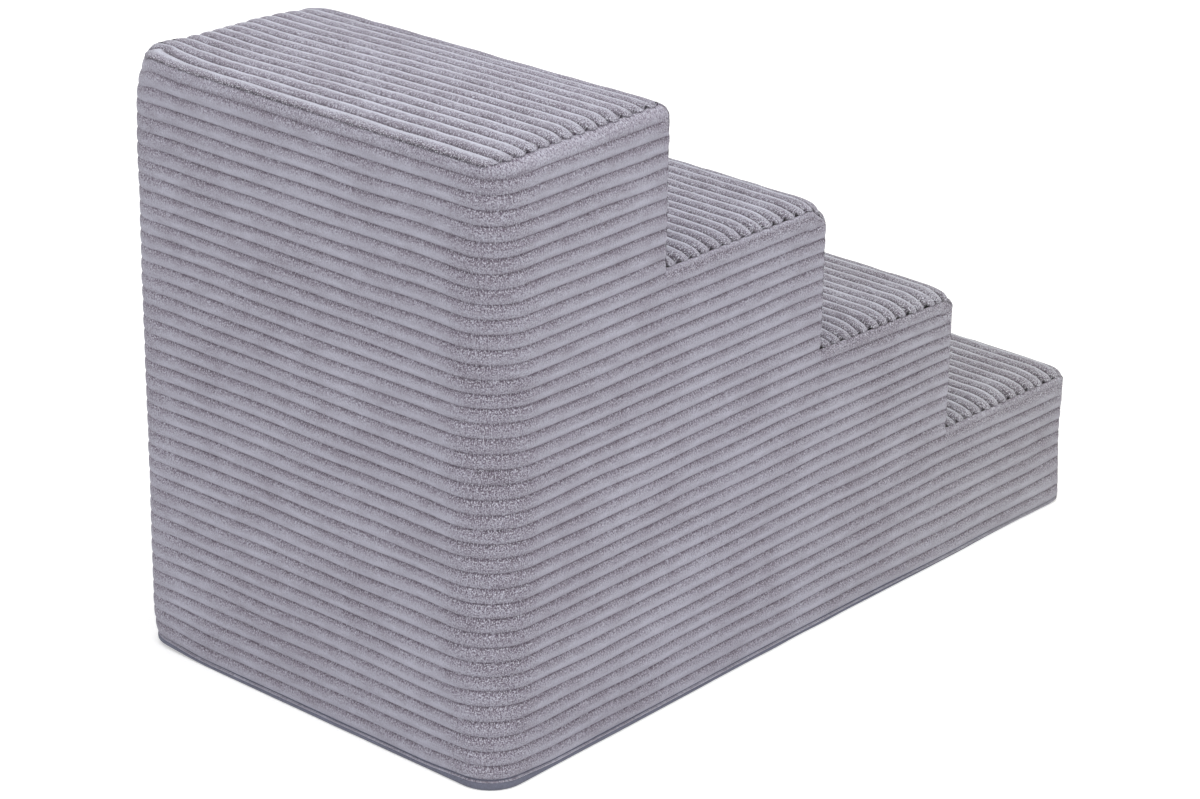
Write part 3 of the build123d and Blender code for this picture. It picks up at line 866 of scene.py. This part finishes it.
# Foam, out of sight in the cover
def foam_block(name, front, low, high):
    """One glued slab with softened edges, a little smaller than the cover."""
    gap, front_round = 6.5, 6.0
    r = float(near_radius(np.array((low + high) / 2)) - 2)
    x0, x1, y1 = BACK + gap, front - gap, HALF - gap - 1.4
    ring = []
    for cx, cy, start, radius in (
        (x1, y1, 0, front_round), (x0, y1, 90, r), (x0, -y1, 180, r), (x1, -y1, 270, front_round)
    ):
        sx, sy = (1 if cx == x1 else -1), (1 if cy > 0 else -1)
        for a in np.radians(np.linspace(start, start + 90, 9)):
            x = cx - sx * radius + radius * math.cos(a)
            ring.append((x, cy - sy * radius + radius * math.sin(a)))
    ring = np.array(ring)
    soft = 3.0 if high > 390 else 0.6
    heights = (low, low + 0.4, high - soft, high - soft * 0.3, high)
    middle = np.array([(x0 + x1) / 2, 0])
    layers = []
    for z, inward in zip(heights, (0.4, 0, 0, soft * 0.3, soft)):
        size = 1 - inward / np.array([(x1 - x0) / 2, y1])
        layers.append(np.column_stack([middle + (ring - middle) * size, np.full(len(ring), z)]))
    count, last = len(ring), (len(layers) - 1) * len(ring)
    faces = [
        (a + i, a + (i + 1) % count, a + count + (i + 1) % count, a + count + i)
        for a in range(0, last, count) for i in range(count)
    ]
    faces.append(tuple(range(count))[::-1])
    faces.append(tuple(range(last, last + count)))
    return new_piece(name, np.concatenate(layers), faces)


# The base cloth, turned up round its edge
def footprint():
    """Points round the base and their outward directions, from the front corner on the zip side."""
    places, ways = [], []
    ahead = RISER[0] - FOOT_LEAN - 0.5
    for x, y, r, start in (
        (ahead, HALF, 9.0, 0), (BACK, HALF, 21.0, 90), (BACK, -HALF, 25.0, 180), (ahead, -HALF, 9.0, 270)
    ):
        middle = np.array((x - math.copysign(r, x), y - math.copysign(r, y)))
        ring = np.radians(np.linspace(start, start + 90, max(5, int(r / 2))))
        arc = np.stack([np.cos(ring), np.sin(ring)], -1)
        if places:
            last = places[-1][-1]
            first = middle + arc[0] * r
            count = int(np.hypot(*(first - last)) / 6)
            run = np.linspace(0, 1, count + 1)[1:-1, None]
            places.append(last + (first - last) * run)
            ways.append(np.repeat(arc[:1], len(run), 0))
        places.append(middle + arc * r)
        ways.append(arc)
    last, first = places[-1][-1], places[0][0]
    run = np.linspace(0, 1, int(np.hypot(*(first - last)) / 6))[1:, None]
    places.append(last + (first - last) * run)
    ways.append(np.repeat(ways[0][:1], len(run), 0))
    return np.concatenate(places), np.concatenate(ways)


def build_base():
    place, way = footprint()
    x, y = place.T
    # the turned-up edge from its rim to the floor: how far out and how high, and the same at the zip
    out = np.array([-3.0, -2.8, -2.5, -2.1, -1.7, -1.2, -0.8, -0.45, -0.2, 0.0, -0.15, -0.8, -2.4, -6.0])
    high = np.array([9.0, 7.0, 5.0, 3.6, 2.9, 2.4, 2.1, 1.85, 1.6, 1.2, 0.7, 0.3, 0.1, 0.05])
    zip_out = np.array([-5.0, -4.6, -3.9, -2.9, -1.9, -1.0, -0.45, -0.2, -0.1, 0.0, -0.2, -0.9, -2.4, -6.0])
    zip_high = np.array([4.0, 4.3, 4.4, 4.35, 4.1, 3.7, 3.3, 2.8, 2.3, 1.6, 0.8, 0.35, 0.1, 0.05])
    share = np.where(way[:, 1] > 0.9, zip_share(x), 0)[:, None]
    out = out + (zip_out - out) * share
    rest = curl(x, y)
    lift = (hem_raise(x, y) - rest)[:, None] * smooth(high, 0.4, 2.2) + rest[:, None]
    high = high + (zip_high - high) * share + lift * (1 - share)
    run = distances(place)
    out = out + 0.3 * drift(run[:, None], high, 26.0, 5.0, 41) * (1 - share)
    # the near rim follows the band's swell, a little behind it
    hidden = 1.6 * smooth(x, 150, 250) * smooth(-y, 120, 150)
    out = out + (skirt(x, y) - hidden)[:, None]
    rim = np.concatenate([place[:, None] + way[:, None] * out[..., None], high[..., None]], -1)
    ground = 0.05
    middle = np.stack([np.clip(x, -140, 140), 0 * run, 0 * run + ground], -1)
    inner = []
    for f in (0.06, 0.14, 0.25, 0.38, 0.52, 0.68, 0.84, 1.0):
        ring = rim[:, -1] + (middle - rim[:, -1]) * f
        lump = 0.5 * np.clip(drift(ring[:, 0], ring[:, 1], 60.0, 60.0, 42), 0, 1)
        ring[:, 2] = ground + rest * max(0.0, 1 - f / 0.25) ** 2 + lump * (1 - f**6)
        inner.append(ring[:, None])
    points = np.concatenate([rim] + inner, 1)
    return sheet_mesh("base_cloth", points, points[..., :2])


def build_guard():
    """The strip of cloth behind the zip, between the slider and the foam."""
    x = np.linspace(OPEN[0] - 2.5, OPEN[1] + 2.5, 261)
    z = np.array([1.2, 2.6, 4.2, 6.0, 8.0, 10.0, 12.0, 14.0, 15.6])
    points = np.zeros((len(z), len(x), 3))
    points[..., 0] = x
    points[..., 1] = GUARD_SIDE + 0.12 * drift(x, z[:, None], 14.0, 4.0, 51)
    points[..., 2] = z[:, None] + 0.15 * drift(x, 0 * z[:, None], 30.0, 1.0, 52)
    return sheet_mesh("zip_guard", points, points[..., ::2], flip=True)


def build_coil(name, middle, shift):
    """One coil of the zip: a drawn thread in flat turns, whose heads lie between the other coil's."""
    pitch, wire, around = 1.2, 0.21, 12
    deep, high = 0.42, 0.92  # half the turns' depth and height
    count = int((CHAIN[1] - CHAIN[0]) / pitch * around)
    a = np.arange(count) * 2 * math.pi / around
    x = CHAIN[0] + shift + np.arange(count) * pitch / around
    line = np.stack([x, COIL_SIDE + deep * np.cos(a), middle + high * np.sin(a)], -1)
    ahead = unit(np.gradient(line, axis=0))
    outward = np.stack([0 * a, np.cos(a), np.sin(a)], -1)
    across = unit(np.cross(ahead, outward))
    outward = np.cross(across, ahead)
    ring = np.radians(np.arange(7) * 60.0)[None, :, None]
    points = line[:, None] + wire * (np.cos(ring) * outward[:, None] + np.sin(ring) * across[:, None])
    return sheet_mesh(name, points, points[..., :2], flip=True)


def build_stitches(name, ground, starts, z, length, pitch, thick):
    """A row of stitches lying on another piece, along the side of the zip."""
    mesh = ground.data
    tree = BVHTree.FromPolygons([v.co[:] for v in mesh.vertices], [f.vertices[:] for f in mesh.polygons])
    along = np.array([-0.5, -0.42, -0.25, 0, 0.25, 0.42, 0.5])
    round_off = np.array([0.15, 0.75, 1, 1, 1, 0.75, 0.15]) * thick / 2
    around, lean, ray_from = 6, 0.25, 0.3
    last = (len(along) - 1) * around
    points, faces = [], []
    for i in range(int((starts[1] - starts[0]) / pitch)):
        x = starts[0] + (i + 0.5) * pitch
        spots = [
            tree.ray_cast(((x + d * length) * MM, ray_from, (z + lean * d) * MM), (0, -1, 0))[0]
            for d in (-0.5, 0.5)
        ]
        if None in spots:
            continue
        y = np.interp(along, (-0.5, 0.5), [spot[1] / MM for spot in spots])
        y = y + thick * (0.25 - 0.6 * (2 * along) ** 2)
        base = len(points)
        for f, out, r in zip(along, y, round_off):
            for a in np.radians(np.arange(around) * 360 / around):
                points.append((x + f * length, out + r * math.cos(a), z + lean * f + r * math.sin(a)))
        for a in range(base, base + last, around):
            for q in range(around):
                after = (q + 1) % around
                faces.append((a + q, a + after, a + around + after, a + around + q))
        faces.append(tuple(range(base + around - 1, base - 1, -1)))
        faces.append(tuple(range(base + last, base + last + around)))
    piece = new_piece(name, np.array(points), faces)
    shade_smooth(piece.data)
    return piece


strip = build_strip()
band = build_band()
# painted light on the strip: a painted highlight near each wale's crest, painted shade on its other side and
# in its grooves, and a higher tone standing in for the top light on the treads
strip.data.materials.append(corduroy(
    "corduroy_strip", rise=(0.28, 0.6), fall=(1.0, 0.88), deep=0.34, along=0.3, groove=0.42,
    fleck=0.95, tone_and_painted_light=1.08, dye=(1.0, 1.035, 1.012),
))
# painted shade on the band: each wale is painted darker just under its groove and paler below
band.data.materials.append(corduroy(
    "corduroy_band", rise=(0.0, 0.72), fall=(1.0, 0.9), deep=0.27, along=0.75, groove=0.86,
    fleck=0.95, tone_and_painted_light=0.942, dye=(1.0, 1.014, 1.008),
))
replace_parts(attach(strip, "stairs"), "step_strip")
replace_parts(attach(band, "stairs"), "wall_band")

foam = foam_material()
levels = [2.2] + [r - 8.0 for r in REAR[:3]] + [390.5]  # the glued faces of the slabs
for k in range(4):
    slab = foam_block(f"foam_{k + 1}", RISER[k], levels[k], levels[k + 1])
    slab.data.materials.append(foam)
    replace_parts(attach(slab, "stairs"), f"foam_slab_{k + 1}")

base, guard = build_base(), build_guard()
coils = [build_coil("coil_turns_upper", 9.18, 0.0), build_coil("coil_turns_lower", 7.45, -0.02)]
stitches = build_stitches(
    "zip_stitches", band, (OPEN[0] - 6, OPEN[1] + 6), z=16.6, length=2.9, pitch=3.7, thick=0.45,
)

# The zip's tapes, stops, slider and pull keep their solids
finishes = {
    "base_fabric": woven("base_weave", (0.150, 0.155, 0.206), 0.0007),
    "zip_tape": woven("tape_weave", (0.17, 0.17, 0.21), 0.0006),
    "zip_coil": satin("coil_plastic", (0.22, 0.22, 0.27), rough=0.42, grain=0.15, wear=0.1),
    "zip_metal": satin(
        "painted_metal", (0.22, 0.22, 0.27), rough=0.35, grain=0.12, wear=0.4, metallic=0.4,
    ),
}
for part in frame["record"]["subparts"]:
    node = frame["nodes"][part["node"]]
    if part["material_slot"] in finishes:
        for place in node.material_slots:
            place.material = finishes[part["material_slot"]]

base.data.materials.append(finishes["base_fabric"])
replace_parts(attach(base, "stairs"), "base_panel")
guard.data.materials.append(finishes["base_fabric"])
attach(guard, "stairs")
for piece, node in zip(coils, ("zip_coil_upper", "zip_coil_lower")):
    piece.data.materials.append(finishes["zip_coil"])
    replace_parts(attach(piece, "stairs"), node)
stitches.data.materials.append(woven("thread", (0.30, 0.29, 0.34), 0.0004))
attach(stitches, "stairs")


# Floor, light, camera
def paper():
    """The floor's pale paper, which looks a little brighter away from the object."""
    n = Nodes(bpy.data.materials.new("floor_paper"))
    path = n.add("ShaderNodeLightPath")
    seen = n.math("MAXIMUM", path.outputs["Is Camera Ray"], path.outputs["Is Glossy Ray"])
    seen = n.math("MAXIMUM", seen, path.outputs["Is Transmission Ray"])
    grain = n.math("MULTIPLY_ADD", n.noise(n.place(), 300.0), 0.02, 0.79)
    diffuse = n.add("ShaderNodeBsdfDiffuse", Color=n.tint((1.0, 1.0, 1.0), grain))
    away = n.add("ShaderNodeVectorMath", "LENGTH", i0=n.place()).outputs["Value"]
    level = n.ramp(away, 0.45, 2.2, 0.38, 0.66)
    glow = n.add("ShaderNodeEmission", Color=(1, 1, 1, 1), Strength=n.times(seen, level))
    return n.finish(n.add("ShaderNodeAddShader", i0=diffuse.outputs[0], i1=glow.outputs[0]))


def white_world():
    """Plain white, seen at full strength and lighting the object at about half of it."""
    n = Nodes(bpy.data.worlds.new("studio"), "ShaderNodeOutputWorld")
    path = n.add("ShaderNodeLightPath")
    seen = n.math("MAXIMUM", path.outputs["Is Camera Ray"], path.outputs["Is Glossy Ray"])
    strength = n.add("ShaderNodeMapRange", i0=seen, i3=0.55, i4=1.0)
    return n.finish(n.add("ShaderNodeBackground", Color=(1, 1, 1, 1), Strength=strength.outputs[0]))


def softbox(name, place, aim, size, watts, colour=(1, 1, 1)):
    data = bpy.data.lights.new(name, "AREA")
    data.color = colour
    data.size = size
    data.energy = watts
    lamp = bpy.data.objects.new(name, data)
    scene.collection.objects.link(lamp)
    lamp.matrix_world = facing(place, aim)


floor_corners = np.array([(-6000.0, -6000, 0), (6000, -6000, 0), (6000, 6000, 0), (-6000, 6000, 0)])
floor = new_piece("floor", floor_corners, [(0, 1, 2, 3)])
floor.data.materials.append(paper())
scene.world = white_world()
softbox("top_light", (-0.2, -0.3, 2.2), (0, 0, 0.2), 2.0, 30)
softbox("back_light", (-2.4, 0.3, 1.5), (0, 0, 0.2), 1.4, 12.5)
softbox("side_light", (-0.15, -2.4, 1.5), (0, 0, 0.2), 1.4, 14.5, (1.0, 0.985, 0.955))
softbox("front_light", (1.9, 0.3, 1.1), (0.2, 0, 0.1), 1.0, 3, (1.0, 0.96, 0.60))

camera = bpy.data.objects.new("photo_camera", bpy.data.cameras.new("photo_camera"))
scene.collection.objects.link(camera)
camera.data.sensor_fit = "HORIZONTAL"
camera.data.sensor_width = 36.0
camera.data.lens = 108.685
camera.data.clip_start, camera.data.clip_end = 0.05, 50.0
camera.matrix_world = facing(CAMERA, CAMERA_AIM, CAMERA_ROLL)
bpy.context.scene.camera = camera
scene.view_settings.view_transform = "Standard"
